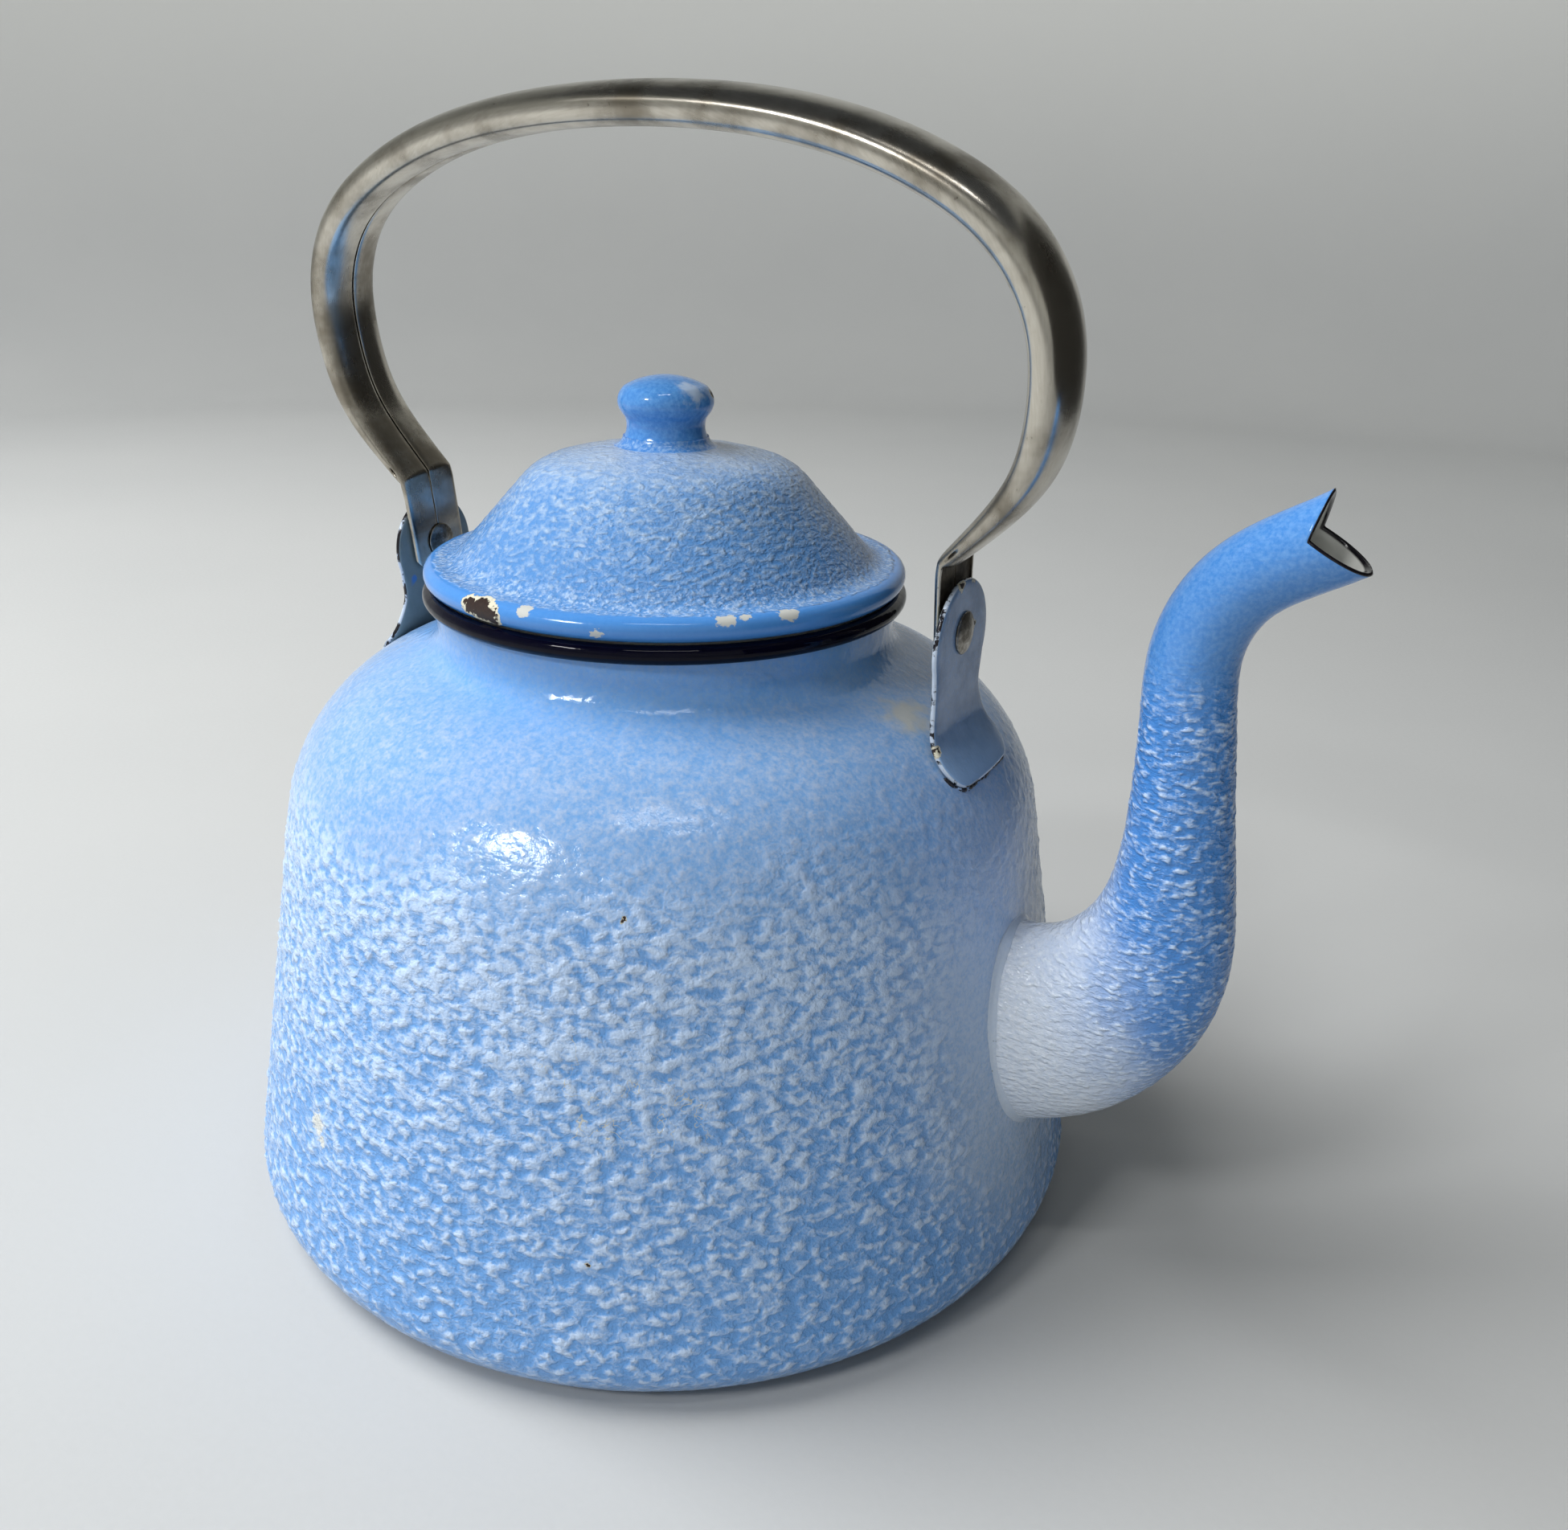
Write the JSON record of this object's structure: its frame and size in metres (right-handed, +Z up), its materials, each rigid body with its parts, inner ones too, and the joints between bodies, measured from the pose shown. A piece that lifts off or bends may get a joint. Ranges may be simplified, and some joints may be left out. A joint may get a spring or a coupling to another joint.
{
  "type": "stovetop kettle",
  "caption": "Stovetop kettle of enamelled steel with a gooseneck spout, a domed lift-off lid with a knob and a swinging tubular bail handle.",
  "frame": {"origin": "centre of the flat base, on the axis of the body", "axes": "+Z up along the axis of the body and lid, +X towards the spout, +Y completes a right-handed frame"},
  "size_m": [0.2566, 0.2128, 0.2528],
  "materials": {
    "body_enamel": "mottled pale blue vitreous enamel, raised orange-peel texture, glossy",
    "lid_enamel": "mottled blue vitreous enamel, glossy",
    "spout_enamel": "blue vitreous enamel shading to near white at the foot, glossy",
    "knob_enamel": "smooth mid-blue vitreous enamel, glossy",
    "lug_enamel": "smooth pale blue vitreous enamel, glossy",
    "rim_enamel": "smooth black-blue vitreous enamel, glossy",
    "white_enamel": "smooth white vitreous enamel, glossy",
    "weld_enamel": "thin dark enamel over a weld",
    "handle_plating": "worn nickel-plated steel sheet, fine lengthwise brushing",
    "rivet_steel": "dull steel"
  },
  "bodies": {
    "kettle_body": {"base_pan": "body_enamel", "body_shell": "body_enamel", "neck_bead": "rim_enamel", "spout_left_half": "spout_enamel", "spout_right_half": "spout_enamel", "spout_weld": "spout_enamel", "front_lug": "lug_enamel", "rear_lug": "lug_enamel", "front_lug_weld": "weld_enamel", "rear_lug_weld": "weld_enamel", "pivot_rivets": "rivet_steel"},
    "handle": {"bail_handle": "handle_plating"},
    "lid": {"lid_shell": "lid_enamel", "lid_collar": "white_enamel", "lid_knob": "knob_enamel", "knob_weld": "knob_enamel"}
  },
  "joints": [
    {"name": "handle_swing", "type": "hinge", "parent": "kettle_body", "child": "handle", "pos_m": [0, 0, 0.1492], "axis": [1, 0, 0], "range_deg": [-104, 89]},
    {"name": "lid_lift", "type": "slide", "parent": "kettle_body", "child": "lid", "axis": [0, 0, 1], "range_m": [0, 0.03]}
  ]
}
